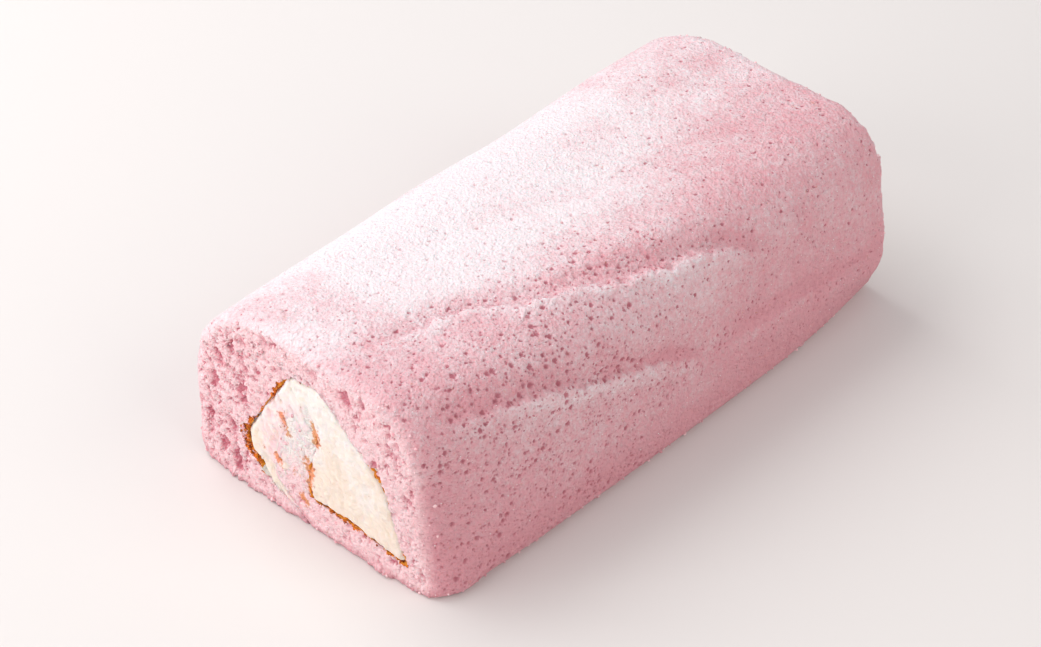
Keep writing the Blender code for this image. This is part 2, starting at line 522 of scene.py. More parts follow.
def put(mesh, name, values):
    """Store a value or a vector on each vertex."""
    kind = "FLOAT_VECTOR" if values.ndim == 2 else "FLOAT"
    field = "vector" if values.ndim == 2 else "value"
    layer = mesh.attributes.new(name, kind, "POINT")
    layer.data.foreach_set(field, values.astype(np.float32).ravel())


def take(mesh, name):
    """Read a value or a vector from each vertex."""
    layer = mesh.attributes[name]
    wide = 3 if layer.data_type == "FLOAT_VECTOR" else 1
    values = np.zeros(len(mesh.vertices) * wide, np.float32)
    layer.data.foreach_get("vector" if wide == 3 else "value", values)
    return values.reshape(-1, 3) if wide == 3 else values


# Where the sheet's browned skin shows on the cut end: the ends of a stroke, its reach and width
BROWNED = [
    (-20.5, 26.5, -24.0, 22.5, 1.8, 1.9), (-24.0, 22.5, -27.0, 18.5, 2.0, 3.2),
    (-27.0, 18.0, -24.5, 13.5, 2.2, 4.0), (-24.0, 13.5, -21.0, 10.5, 2.0, 3.2),
    (-12.0, 42.0, -14.0, 38.5, 1.2, 2.6), (-15.0, 35.5, -16.0, 32.5, 1.3, 3.2),
    (-18.0, 30.0, -18.5, 29.0, 1.0, 1.2), (-5.5, 44.8, -1.0, 44.6, 1.2, 0.9),
    (17.5, 31.0, 21.0, 30.0, 1.6, 1.5), (21.0, 29.0, 22.6, 25.0, 1.2, 0.8),
    (0.5, 33.0, 1.2, 29.5, 1.3, 2.4), (-1.8, 19.5, -2.8, 11.5, 1.6, 2.2),
    (-2.5, 10.5, 2.5, 9.6, 1.6, 1.5), (3.0, 9.6, 9.0, 9.4, 2.0, 0.9),
    (10.0, 9.6, 15.5, 9.6, 2.0, 1.5), (16.0, 9.0, 21.0, 8.6, 2.0, 0.8),
    (21.0, 8.6, 28.0, 7.0, 1.8, 1.2), (28.0, 8.0, 27.5, 10.0, 1.2, 1.2),
]
# Loose stains of browned skin on the tongue: the ends of a stroke, its reach and strength
STAINS = [
    (-12.2, 32.0, -10.6, 27.0, 1.5, 1.0), (-1.8, 35.5, -1.6, 34.5, 0.9, 0.8),
    (-4.0, 22.5, -4.4, 19.5, 1.8, 0.8), (-14.8, 17.2, -13.4, 15.4, 1.5, 1.0),
    (-19.2, 17.2, -18.6, 17.0, 1.0, 0.6), (-6.2, 8.4, -5.4, 7.6, 1.5, 1.5),
    (-8.4, 15.8, -5.0, 15.4, 1.3, 0.6), (-5.4, 38.0, -5.0, 37.0, 0.8, 0.4),
    (-0.4, 33.0, -0.2, 29.5, 1.4, 1.5), (-2.2, 20.0, -3.4, 12.5, 1.1, 1.2),
]


# Large holes in the crumb of the cut end: the ends of a stroke, its reach and depth
CAVITIES = [
    (-36.0, 38.0, -34.5, 35.5, 1.5, 0.54), (-26.5, 46.5, -25.5, 45.5, 1.2, 0.48),
    (-18.5, 50.0, -17.0, 49.5, 1.0, 0.42), (-26.5, 41.0, -25.5, 38.0, 1.3, 0.48),
    (-27.5, 31.5, -26.5, 28.5, 1.6, 0.54), (-37.5, 29.0, -37.0, 27.0, 1.4, 0.48),
    (-33.0, 19.0, -31.5, 16.5, 1.6, 0.42), (-40.5, 20.0, -40.0, 17.0, 1.2, 0.36),
    (8.0, 48.8, 10.0, 47.4, 1.6, 0.60), (31.5, 32.0, 32.5, 30.0, 1.1, 0.42),
    (-3.0, 50.5, -1.0, 50.0, 1.0, 0.30), (24.5, 40.5, 25.5, 38.5, 1.0, 0.36),
]


def strokes(lines, x, z):
    """Soft marks round short lines, summed."""
    total = np.zeros(len(x))
    for x1, z1, x2, z2, reach, strength in lines:
        long = max((x2 - x1) ** 2 + (z2 - z1) ** 2, 1e-6)
        share = np.clip(((x - x1) * (x2 - x1) + (z - z1) * (z2 - z1)) / long, 0, 1)
        far = np.hypot(x - x1 - share * (x2 - x1), z - z1 - share * (z2 - z1))
        total += strength * np.exp(-(far / reach) ** 2)
    return total


def skin_width(x, z):
    """Width of the browned line beside the cream: a trace all round, and wide where it is torn."""
    return 0.18 + strokes(BROWNED, x, z)


def smear_cover(x, z):
    """Cream that the knife smeared over the tongue's cut face, from 0 to 1."""
    high = np.clip((z - 13) / 22, 0, 1)
    left = np.clip((-9 - x) / 10, 0, 1) * np.clip((z - 8) / 8, 0, 1)
    return np.clip(0.12 + 0.8 * high + 0.45 * left, 0, 1)


def sugar_and_light_cover(points, lift):
    """Share of sugar on each point of the outside, with painted light in it: most on top, left of the middle,
    and on lips.
    """
    x, y, z = points.T
    # Painted light: the share stays high out to the left edge and falls away to the right, whiter on the side
    # the window light comes from.
    right = np.interp(x, [-47, -38, -26, 0, 12, 24, 36, 44], [0.72, 0.86, 0.94, 0.92, 0.58, 0.38, 0.33, 0.32])
    height = np.interp(z, [4, 14, 28, 44, 52], [0.0, 0.3, 0.6, 0.9, 1.0])
    far = np.clip((y - 18 + 0.5 * x) / 34, 0, 1)
    near = np.clip((-50 - y) / 30, 0, 1) * (0.28 + 0.25 * np.clip((x + 12) / 20, 0, 1))
    cloud = np.array([
        noise.fractal((a / 20, b / 20, c / 20), 0.9, 2.0, 3) for a, b, c in points.tolist()])
    cover = right * height * (1 - 0.40 * far - near) * (1 + 0.35 * cloud)
    return np.clip(cover + np.clip(0.3 * lift, -0.15, 0.2) * (z > 20), 0, 1)


def holes(points, lift):
    """Size of the pores on each point of the outside: largest on the right shoulder and in creases."""
    x, y, z = points.T
    shoulder = np.exp(-((x - 34) / 24) ** 2 - ((y + 55) / 48) ** 2)
    return 0.66 + 0.46 * shoulder + 0.25 * np.clip(-lift - 0.15, 0, 1)


# ---------------------------------------------------------------- node helpers

def join(tree, socket, value):
    """Link a socket to an output, or give it a value."""
    if isinstance(value, bpy.types.NodeSocket):
        tree.links.new(value, socket)
    else:
        socket.default_value = value


def add_node(tree, kind, inputs=(), **settings):
    """Add a node, set its properties and join its inputs, given by name or number."""
    made = tree.nodes.new(kind)
    for key, value in settings.items():
        setattr(made, key, value)
    for key, value in dict(inputs).items():
        join(tree, made.inputs[key], value)
    return made


def math_node(tree, operation, a, b=0.0, c=0.0, clamp=False):
    made = add_node(tree, "ShaderNodeMath", {0: a, 1: b, 2: c}, operation=operation)
    made.use_clamp = clamp
    return made.outputs[0]


def scaled(tree, vector, factor):
    made = add_node(tree, "ShaderNodeVectorMath", {0: vector, "Scale": factor}, operation="SCALE")
    return made.outputs[0]


def remap(tree, value, low, high, to_low=0.0, to_high=1.0, smooth=True):
    kind = "SMOOTHSTEP" if smooth else "LINEAR"
    made = add_node(tree, "ShaderNodeMapRange", {
        "Value": value, "From Min": low, "From Max": high, "To Min": to_low, "To Max": to_high},
        interpolation_type=kind)
    return made.outputs[0]


def noise_at(tree, vector, size, detail=2.0, roughness=0.5, output="Fac"):
    """Noise with features of a size in metres."""
    made = add_node(tree, "ShaderNodeTexNoise", {
        "Vector": vector, "Scale": 1 / size, "Detail": detail, "Roughness": roughness})
    return made.outputs[output]


def mix_colour(tree, share, a, b, blend="MIX"):
    made = add_node(tree, "ShaderNodeMix", data_type="RGBA", blend_type=blend)
    join(tree, made.inputs["Factor"], share)
    join(tree, made.inputs[6], a)
    join(tree, made.inputs[7], b)
    return made.outputs[2]


def mix_value(tree, share, a, b):
    made = add_node(tree, "ShaderNodeMix", {0: share, 2: a, 3: b}, data_type="FLOAT")
    return made.outputs[0]


def new_group(name, kind, inputs, outputs):
    """An empty node group with named sockets, and its inside ends."""
    group = bpy.data.node_groups.new(name, kind)
    for label, socket_type, default in inputs:
        socket = group.interface.new_socket(label, in_out="INPUT", socket_type=socket_type)
        if default is not None:
            socket.default_value = default
    for label, socket_type in outputs:
        group.interface.new_socket(label, in_out="OUTPUT", socket_type=socket_type)
    return group, group.nodes.new("NodeGroupInput").outputs, group.nodes.new("NodeGroupOutput").inputs


def pore_group(kind):
    """Pits left by bubbles of uneven size; Depth runs from 0 at a pit's edge to 1 in its middle."""
    name = "pore shape" if kind == "GeometryNodeTree" else "pore colour"
    if name in bpy.data.node_groups:
        return bpy.data.node_groups[name]
    number = "NodeSocketFloat"
    group, given, result = new_group(name, kind, [
        ("Place", "NodeSocketVector", None), ("Cell", number, 3 * MM), ("Smallest", number, 0.1),
        ("Largest", number, 0.4), ("Ragged", number, 0.2), ("Growth", number, 1.0)],
        [("Depth", number)])
    place_in_cells = scaled(group, given["Place"], math_node(group, "DIVIDE", 1.0, given["Cell"]))
    wobble = add_node(group, "ShaderNodeTexNoise", {
        "Vector": place_in_cells, "Scale": 2.6, "Detail": 2.0}).outputs["Color"]
    wobble = add_node(
        group, "ShaderNodeVectorMath", {0: wobble, 1: (0.5,) * 3}, operation="SUBTRACT").outputs[0]
    bent = add_node(group, "ShaderNodeVectorMath", {
        0: place_in_cells, 1: scaled(group, wobble, given["Ragged"])}, operation="ADD").outputs[0]
    bubbles = add_node(group, "ShaderNodeTexVoronoi", {"Vector": bent, "Scale": 1.0})
    chance = add_node(group, "ShaderNodeSeparateXYZ", {0: bubbles.outputs["Color"]}).outputs[0]
    chance = math_node(group, "POWER", chance, 1.6)
    radius = mix_value(group, chance, given["Smallest"], given["Largest"])
    radius = math_node(group, "MULTIPLY", radius, given["Growth"])
    share = math_node(group, "DIVIDE", bubbles.outputs["Distance"], radius)
    pit = math_node(group, "SUBTRACT", 1.0, math_node(group, "POWER", share, 2.0), clamp=True)
    join(group, result["Depth"], pit)
    return group


# Pits as cell, smallest and largest radius as shares of the cell, raggedness and relative depth
OUTSIDE_PORES = [
    (2.1, 0.12, 0.47, 0.45, 1.0), (1.3, 0.12, 0.46, 0.5, 0.6), (0.8, 0.15, 0.5, 0.8, 0.25)]
CRUMB_PORES = [
    (5.0, 0.10, 0.46, 1.2, 1.0), (2.4, 0.15, 0.50, 1.0, 0.7), (1.1, 0.15, 0.5, 0.8, 0.3)]


def pits(tree, rest, pores, weights, growth=1.0):
    """The deepest of several sizes of pit at a place, each with a weight; growth scales radii."""
    kind = tree.bl_idname
    node_kind = "GeometryNodeGroup" if kind == "GeometryNodeTree" else "ShaderNodeGroup"
    deepest = None
    for (cell, small, large, ragged, _), weight in zip(pores, weights):
        made = add_node(tree, node_kind, node_tree=pore_group(kind))
        for key, value in {"Place": rest, "Cell": cell * MM, "Smallest": small, "Largest": large,
                           "Ragged": ragged, "Growth": growth}.items():
            join(tree, made.inputs[key], value)
        depth = math_node(tree, "MULTIPLY", made.outputs["Depth"], weight)
        deepest = depth if deepest is None else math_node(tree, "MAXIMUM", deepest, depth)
    return deepest


def crumb_group(kind):
    """Torn crumb: soft lumps parted by clefts; Depth runs from 0 on the lumps to 1 in the clefts."""
    name = "crumb shape" if kind == "GeometryNodeTree" else "crumb colour"
    if name in bpy.data.node_groups:
        return bpy.data.node_groups[name]
    number = "NodeSocketFloat"
    group, given, result = new_group(
        name, kind, [("Place", "NodeSocketVector", None)], [("Depth", number)])
    bend = add_node(group, "ShaderNodeVectorMath", {
        0: noise_at(group, given["Place"], 2.0 * MM, 2.0, 0.6, "Color"), 1: (0.5,) * 3},
        operation="SUBTRACT").outputs[0]
    bent = add_node(group, "ShaderNodeVectorMath", {
        0: given["Place"], 1: scaled(group, bend, 1.6 * MM)}, operation="ADD").outputs[0]
    total = None
    for size, share in ((3.4, 0.55), (1.5, 0.45)):
        lumps = add_node(group, "ShaderNodeTexVoronoi", {
            "Vector": bent, "Scale": 1 / (size * MM)})
        cleft = remap(group, lumps.outputs["Distance"], 0.35, 0.85)
        open_here = remap(group, noise_at(group, given["Place"], 1.6 * size * MM, 2.0), 0.38, 0.62)
        cleft = math_node(group, "MULTIPLY", cleft, math_node(group, "MULTIPLY", open_here, share))
        total = cleft if total is None else math_node(group, "ADD", total, cleft)
    join(group, result["Depth"], total)
    return group


def torn_crumb(tree, rest, tear, cavity):
    """Depth of the cut face's holes and clefts, where tear says how rough it is."""
    kind = tree.bl_idname
    made = add_node(
        tree, "GeometryNodeGroup" if kind == "GeometryNodeTree" else "ShaderNodeGroup",
        {"Place": rest}, node_tree=crumb_group(kind))
    open_holes = pits(tree, rest, CRUMB_PORES, [p[4] for p in CRUMB_PORES])
    depth = math_node(tree, "MULTIPLY_ADD", made.outputs["Depth"], 0.6, open_holes)
    ragged = remap(tree, noise_at(tree, rest, 1.6 * MM, 3.0, 0.65), 0.3, 0.6, 0.35, 1.15)
    return math_node(tree, "MULTIPLY_ADD", depth, tear, math_node(tree, "MULTIPLY", cavity, ragged))


def browned_group(kind):
    """Mask of the browned skin beside the cream, ragged, and of its loose stains."""
    name = "browned shape" if kind == "GeometryNodeTree" else "browned colour"
    if name in bpy.data.node_groups:
        return bpy.data.node_groups[name]
    number = "NodeSocketFloat"
    group, given, result = new_group(name, kind, [
        ("Place", "NodeSocketVector", None), ("Gap", number, 0.0), ("Width", number, 0.0),
        ("Stain", number, 0.0)], [("Skin", number), ("Stain", number)])
    coarse = noise_at(group, given["Place"], 2.0 * MM, 4.0, 0.7)
    fray = math_node(group, "MULTIPLY_ADD", coarse, 7.0, -2.8)
    reach = math_node(group, "MULTIPLY", given["Width"], fray)
    skin = remap(group, math_node(group, "SUBTRACT", reach, given["Gap"]), -0.1, 0.15)
    join(group, result["Skin"], math_node(group, "MULTIPLY", skin, remap(
        group, given["Width"], 0.2, 0.5)))
    patchy = noise_at(group, given["Place"], 1.2 * MM, 3.0, 0.7)
    stain = math_node(group, "ADD", given["Stain"], math_node(group, "MULTIPLY_ADD", patchy, 3.0, -1.9))
    join(group, result["Stain"], remap(group, stain, 0.0, 0.55))
    return group


def browned(tree, rest, read):
    """The browned group placed in a tree; read gives a named attribute's socket there."""
    kind = tree.bl_idname
    made = add_node(
        tree, "GeometryNodeGroup" if kind == "GeometryNodeTree" else "ShaderNodeGroup",
        node_tree=browned_group(kind))
    for socket, value in (("Place", rest), ("Gap", read("gap")), ("Width", read("brown")),
                          ("Stain", read("stain"))):
        join(tree, made.inputs[socket], value)
    return made.outputs["Skin"], made.outputs["Stain"]


# ---------------------------------------------------------------- Geometry Nodes

def geometry_tree(name, inputs):
    """A Geometry Nodes tree with the usual ends and named inputs."""
    group, given, result = new_group(
        name, "GeometryNodeTree", [("Geometry", "NodeSocketGeometry", None), *inputs],
        [("Geometry", "NodeSocketGeometry")])
    return group, given, result


def named(tree, name, kind="FLOAT"):
    made = add_node(tree, "GeometryNodeInputNamedAttribute", {"Name": name}, data_type=kind)
    return made.outputs["Attribute"]


def apply_tree(target, tree, values, name=None):
    """Run a tree on an object and give back the plain mesh it makes."""
    modifier = target.modifiers.new(tree.name, "NODES")
    modifier.node_group = tree
    for item in tree.interface.items_tree:
        if item.in_out == "INPUT" and item.name in values:
            modifier[item.identifier] = values[item.name]
    return bake_modifiers(target, name)


def bake_modifiers(target, name=None):
    """The object's evaluated mesh as plain data; its modifiers are removed."""
    graph = bpy.context.evaluated_depsgraph_get()
    graph.update()
    mesh = bpy.data.meshes.new_from_object(target.evaluated_get(graph))
    target.modifiers.clear()
    mesh.name = name or target.name
    return mesh


def relief_tree():
    """Pores on the outside and torn crumb on the cut ends, as true shape."""
    number = "NodeSocketFloat"
    tree, given, result = geometry_tree("sponge relief", [
        ("Pore depth", number, 0.6 * MM), ("Crumb depth", number, 1.6 * MM),
        ("Roughness", number, 0.3 * MM), ("Skin depth", number, 0.25 * MM)])
    rest = named(tree, "rest", "FLOAT_VECTOR")
    low = add_node(tree, "ShaderNodeSeparateXYZ", {0: rest}).outputs[2]
    cut, torn = named(tree, "cut"), named(tree, "torn")
    outside = pits(tree, rest, OUTSIDE_PORES, [p[4] for p in OUTSIDE_PORES], named(tree, "holes"))
    outside = math_node(tree, "MULTIPLY", outside, remap(tree, low, 0.3 * MM, 4 * MM, 0.1, 1.0))
    crumb = torn_crumb(tree, rest, named(tree, "tear"), named(tree, "cavity"))
    depth = mix_value(tree, torn, math_node(tree, "MULTIPLY", outside, given["Pore depth"]),
                      math_node(tree, "MULTIPLY", crumb, given["Crumb depth"]))
    fine = math_node(tree, "SUBTRACT", noise_at(tree, rest, 1.1 * MM, 3.0, 0.65), 0.5)
    fine = math_node(tree, "MULTIPLY", fine, math_node(
        tree, "MULTIPLY", given["Roughness"], remap(tree, torn, 0.0, 1.0, 1.3, 2.2)))
    skin, _ = browned(tree, rest, lambda name: named(tree, name))
    depth = math_node(tree, "MULTIPLY_ADD", skin, given["Skin depth"], depth)
    height = math_node(tree, "SUBTRACT", fine, depth)
    thin = remap(tree, named(tree, "gap"), 0.4, 7.0, smooth=False)
    height = math_node(tree, "MULTIPLY", height, math_node(tree, "MAXIMUM", thin, cut))
    normal = tree.nodes.new("GeometryNodeInputNormal").outputs[0]
    moved = add_node(tree, "GeometryNodeSetPosition", {
        "Geometry": given["Geometry"], "Offset": scaled(tree, normal, height)}).outputs[0]
    spot = add_node(tree, "ShaderNodeSeparateXYZ", {
        0: tree.nodes.new("GeometryNodeInputPosition").outputs[0]}).outputs
    grounded = add_node(tree, "ShaderNodeCombineXYZ", {
        0: spot[0], 1: spot[1], 2: math_node(tree, "MAXIMUM", spot[2], 0.0)}).outputs[0]
    moved = add_node(tree, "GeometryNodeSetPosition", {"Geometry": moved, "Position": grounded})
    join(tree, result["Geometry"], moved.outputs[0])
    return tree


def scatter_tree(name, subdivisions, material):
    """Small uneven bodies strewn over a surface where its "litter" says."""
    number = "NodeSocketFloat"
    tree, given, result = geometry_tree(name, [
        ("Count", "NodeSocketInt", 500), ("Area", number, 1e-4), ("Smallest", number, 0.2 * MM),
        ("Largest", number, 1.0 * MM), ("Slimness", number, 0.8), ("Flatness", number, 1.0),
        ("Ragged", number, 0.3), ("Tilt", number, 0.6), ("Seed", "NodeSocketInt", 1)])
    density = math_node(tree, "DIVIDE", given["Count"], given["Area"])
    spread = add_node(tree, "GeometryNodeDistributePointsOnFaces", {
        "Mesh": given["Geometry"],
        "Density": math_node(tree, "MULTIPLY", density, named(tree, "litter")),
        "Seed": given["Seed"]}, distribute_method="RANDOM")
    ball = add_node(tree, "GeometryNodeMeshIcoSphere", {
        "Radius": 1.0, "Subdivisions": subdivisions}).outputs[0]
    chance = add_node(tree, "FunctionNodeRandomValue", {"Seed": given["Seed"]}, data_type="FLOAT")
    chance = math_node(tree, "POWER", chance.outputs[1], 2.0)
    size = mix_value(tree, chance, given["Smallest"], given["Largest"])
    squash = add_node(tree, "ShaderNodeCombineXYZ", {
        0: 1.0, 1: given["Slimness"], 2: given["Flatness"]}).outputs[0]
    turn = add_node(tree, "FunctionNodeRandomValue", {
        0: (-1.0, -1.0, -math.pi), 1: (1.0, 1.0, math.pi), "Seed": given["Seed"]},
        data_type="FLOAT_VECTOR").outputs[0]
    turn = add_node(tree, "ShaderNodeSeparateXYZ", {0: turn}).outputs
    turn = add_node(tree, "ShaderNodeCombineXYZ", {
        0: math_node(tree, "MULTIPLY", turn[0], given["Tilt"]),
        1: math_node(tree, "MULTIPLY", turn[1], given["Tilt"]), 2: turn[2]}).outputs[0]
    rotate = add_node(tree, "FunctionNodeRotateRotation", {
        0: spread.outputs["Rotation"], 1: turn}, rotation_space="LOCAL").outputs[0]
    placed = add_node(tree, "GeometryNodeInstanceOnPoints", {
        "Points": spread.outputs["Points"], "Instance": ball, "Rotation": rotate,
        "Scale": scaled(tree, squash, size)})
    real = add_node(tree, "GeometryNodeRealizeInstances", {0: placed.outputs[0]}).outputs[0]
    spot = tree.nodes.new("GeometryNodeInputPosition").outputs[0]
    nudge = add_node(tree, "ShaderNodeVectorMath", {
        0: noise_at(tree, spot, 0.8 * MM, 3.0, 0.7, "Color"), 1: (0.5, 0.5, 0.5)},
        operation="SUBTRACT").outputs[0]
    push = scaled(tree, nudge, math_node(tree, "MULTIPLY", given["Ragged"], given["Largest"]))
    moved = add_node(tree, "GeometryNodeSetPosition", {"Geometry": real, "Offset": push}).outputs[0]
    painted = add_node(tree, "GeometryNodeSetMaterial", {"Geometry": moved, "Material": material})
    join(tree, result["Geometry"], painted.outputs[0])
    return tree


# ---------------------------------------------------------------- materials

def colour(value):
    return (*value, 1.0)


def new_material(name, roughness, subsurface=0.0, radius=(1.0, 0.4, 0.3), depth=1.0):
    """A Principled material; returns it with its tree and shader."""
    made = bpy.data.materials.new(name)
    made.use_nodes = True
    shader = made.node_tree.nodes["Principled BSDF"]
    shader.inputs["Roughness"].default_value = roughness
    shader.inputs["Specular IOR Level"].default_value = 0.25
    shader.inputs["Subsurface Weight"].default_value = subsurface
    shader.inputs["Subsurface Radius"].default_value = radius
    shader.inputs["Subsurface Scale"].default_value = depth * MM
    return made, made.node_tree, shader


def attribute(tree, name, output="Fac"):
    return add_node(tree, "ShaderNodeAttribute", attribute_name=name).outputs[output]


def bump(tree, shader, height, strength, distance):
    made = add_node(tree, "ShaderNodeBump", {
        "Height": height, "Strength": strength, "Distance": distance})
    join(tree, shader.inputs["Normal"], made.outputs[0])


def sponge_material(colours):
    """Rose sponge: pores and torn crumb with painted shade in their pits, browned skin, smeared cream, and
    sugar by a mask that also holds painted light.
    """
    made, tree, shader = new_material("rose_sponge", 0.9, 0.3, (1.0, 0.35, 0.4), 2.0)

    def read(name):
        return attribute(tree, name)

    rest = attribute(tree, "rest", "Vector")
    pores = pits(tree, rest, OUTSIDE_PORES, (1.0, 0.85, 0.5), read("holes"))
    outside = remap(tree, pores, 0.0, 1.05)
    torn = torn_crumb(tree, rest, read("tear"), read("cavity"))
    crumb = remap(tree, torn, 0.03, 0.8)
    cloudy = noise_at(tree, rest, 9 * MM, 3.0, 0.6)
    speck = noise_at(tree, rest, 0.7 * MM, 2.0, 0.6)
    grain = noise_at(tree, rest, 1.7 * MM, 3.0, 0.65)

    outside = math_node(tree, "MULTIPLY", outside, remap(tree, read("dust"), 0.3, 0.95, 1.0, 0.45))

    # Pores take the deep rose by their depth: partly the sugar-free sponge's own colour, partly painted shade
    # in the pits.
    skin = mix_colour(tree, math_node(tree, "MULTIPLY", outside, 0.85),
                      colour(colours.rose), colour(colours.rose_deep_and_pore_shade))
    skin = mix_colour(tree, remap(tree, grain, 0.3, 0.75, 0.0, 0.25), skin, colour(colours.rose_deep_and_pore_shade))
    # Painted shade: the torn crumb takes the pit colour by the depth of its holes and clefts.
    inner = mix_colour(tree, crumb, colour(colours.crumb), colour(colours.pit))
    inner = mix_colour(tree, remap(tree, grain, 0.42, 0.72, 0.0, 0.4), inner, colour(colours.rose))
    base = mix_colour(tree, read("torn"), skin, inner)

    # Sugar laid over the colour by the share, which also holds painted light on the left.
    dust = read("dust")
    sugar_and_light = math_node(tree, "MULTIPLY_ADD", speck, 0.5, math_node(tree, "ADD", dust, -0.25))
    sugar_and_light = math_node(tree, "MULTIPLY_ADD", grain, 1.0, math_node(tree, "ADD", sugar_and_light, -0.5))
    sugar_and_light = math_node(tree, "MULTIPLY_ADD", cloudy, 0.4, math_node(tree, "ADD", sugar_and_light, -0.2))
    sugar_and_light = remap(tree, sugar_and_light, -0.15, 1.0, 0.0, 0.92)
    hollow = mix_value(tree, read("torn"), outside, crumb)
    sugar_and_light = math_node(tree, "MULTIPLY", sugar_and_light, remap(tree, hollow, 0.0, 0.8, 1.0, 0.08))
    sugar_and_light = math_node(tree, "MULTIPLY", sugar_and_light, remap(tree, dust, 0.0, 0.15))
    base = mix_colour(tree, sugar_and_light, base, colour(colours.sugar))

    drag = math_node(tree, "ADD", read("smear"), math_node(
        tree, "MULTIPLY_ADD", noise_at(tree, rest, 2.6 * MM, 4.0, 0.65), 1.6, -0.75))
    drag = math_node(tree, "MULTIPLY", remap(tree, drag, 0.1, 0.8, 0.0, 0.9), remap(
        tree, read("smear"), 0.0, 0.1))
    drag = math_node(tree, "MULTIPLY", drag, remap(tree, crumb, 0.2, 0.9, 1.0, 0.35))
    base = mix_colour(tree, drag, base, colour(colours.cream))

    line, stain = browned(tree, rest, read)
    baked = mix_colour(tree, remap(tree, noise_at(tree, rest, 1.2 * MM, 3.0, 0.65), 0.42, 0.62),
                       colour(colours.caramel), colour(colours.scorched))
    baked = mix_colour(tree, remap(tree, read("gap"), 0.3, 1.2, 0.75, 0.0), baked,
                       colour(colours.toasted))
    faded = mix_colour(tree, 0.5, baked, colour(colours.toasted))
    base = mix_colour(tree, math_node(tree, "MULTIPLY", stain, 0.75), base, faded)
    base = mix_colour(tree, line, base, baked)
    join(tree, shader.inputs["Base Color"], base)

    foam = add_node(tree, "ShaderNodeTexVoronoi", {"Vector": rest, "Scale": 1 / (0.8 * MM)})
    height = math_node(tree, "MULTIPLY_ADD", foam.outputs["Distance"], 0.9, speck)
    height = math_node(tree, "MULTIPLY_ADD", grain, 2.0, height)
    height = math_node(tree, "MULTIPLY", height, remap(tree, dust, 0.1, 0.8, 1.0, 0.75))
    bump(tree, shader, height, 0.9, 0.5 * MM)
    return made


def cream_material(colours):
    """Whipped cream, with crumb dragged into it on the tongue's cut faces."""
    made, tree, shader = new_material("whipped_cream", 0.5, 0.5, (1.0, 0.75, 0.5), 2.5)
    spot = add_node(tree, "ShaderNodeTexCoord").outputs["Object"]
    height = add_node(tree, "ShaderNodeSeparateXYZ", {0: spot}).outputs[2]
    # Darker, yellower cream in patches and towards the bottom.
    darker_share = math_node(tree, "ADD", noise_at(tree, spot, 9 * MM, 3.0, 0.6), remap(
        tree, height, 12 * MM, 38 * MM, 0.22, -0.1))
    darker_share = remap(tree, darker_share, 0.4, 0.75, 0.0, 0.9)
    darker_cream = tuple(c * k for c, k in zip(colours.cream, (0.98, 0.89, 0.80)))
    base = mix_colour(tree, darker_share, colour(colours.cream), colour(darker_cream))
    streaks = noise_at(tree, spot, 2.6 * MM, 4.0, 0.7)
    crumb = remap(tree, streaks, 0.30, 0.62, 0.0, 0.95)
    crumb = math_node(tree, "MULTIPLY", crumb, attribute(tree, "dragged"))
    base = mix_colour(tree, crumb, base, colour(colours.crumb))
    made_brown = add_node(tree, "ShaderNodeGroup", {
        "Place": spot, "Stain": attribute(tree, "stain")}, node_tree=browned_group("ShaderNodeTree"))
    stain = math_node(tree, "MULTIPLY", made_brown.outputs["Stain"], 0.8)
    baked = mix_colour(tree, remap(tree, noise_at(tree, spot, 1.2 * MM, 3.0, 0.65), 0.5, 0.7),
                       colour(colours.caramel), colour(colours.scorched))
    base = mix_colour(tree, stain, base, baked)
    join(tree, shader.inputs["Base Color"], base)
    bump(tree, shader, noise_at(tree, spot, 1.0 * MM, 4.0, 0.65), 0.7, 0.5 * MM)
    return made


def grain_material(name, main, other, size, roughness, subsurface=0.2):
    """Small crumbs: two colours in patches."""
    made, tree, shader = new_material(name, roughness, subsurface, (1.0, 0.4, 0.4), 1.0)
    spot = add_node(tree, "ShaderNodeTexCoord").outputs["Object"]
    patch = remap(tree, noise_at(tree, spot, size * MM, 2.0, 0.6), 0.4, 0.62)
    join(tree, shader.inputs["Base Color"], mix_colour(tree, patch, colour(main), colour(other)))
    bump(tree, shader, noise_at(tree, spot, 0.4 * size * MM, 2.0, 0.6), 0.4, 0.2 * MM)
    return made


# ---------------------------------------------------------------- pieces

def link(name, mesh):
    piece = bpy.data.objects.new(name, mesh)
    bpy.context.scene.collection.objects.link(piece)
    return piece


def give(piece, material):
    """Dress a finished piece and set it on the roll's body."""
    piece.data.materials.clear()
    piece.data.materials.append(material)
    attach(piece, BODY)


def lay_bake_map(mesh):
    """A UV map from the sheet itself: outside, two cut ends and the hidden side, each in its place."""
    rest, along = take(mesh, "rest") / MM, take(mesh, "section")[:, 2]
    gap, cut = take(mesh, "gap"), take(mesh, "cut")
    flat = take(mesh, "section")
    corner = np.zeros(len(mesh.loops), np.int32)
    mesh.loops.foreach_get("vertex_index", corner)
    face = np.repeat(np.arange(len(mesh.polygons)), 3)
    mean = np.stack([np.bincount(face, v[corner]) / 3 for v in (cut, gap, rest[:, 1])], -1)
    total = along.max()
    u = along[corner] / total
    v = (rest[corner, 1] + LENGTH / 2) / total
    kind = mean[face]
    is_end, is_back = kind[:, 0] > 0.5, kind[:, 2] > 0
    is_hidden = ~is_end & (kind[:, 1] < 0.35)
    end_scale = 0.47 / BODY_WIDTH
    end_u = 0.01 + (flat[corner, 0] - LEFT) * end_scale + 0.5 * is_back
    end_v = 0.59 + flat[corner, 1] * end_scale
    u = np.where(is_end, end_u, u)
    v = np.where(is_end, end_v, np.where(is_hidden, 0.9 + 0.16 * v, v))
    layer = mesh.uv_layers.new(name="OFBake")
    layer.data.foreach_set("uv", np.stack([u, v], -1).clip(0, 1).astype(np.float32).ravel())


def settings():
    return bpy.context.scene.roll_sizes, bpy.context.scene.roll_colours


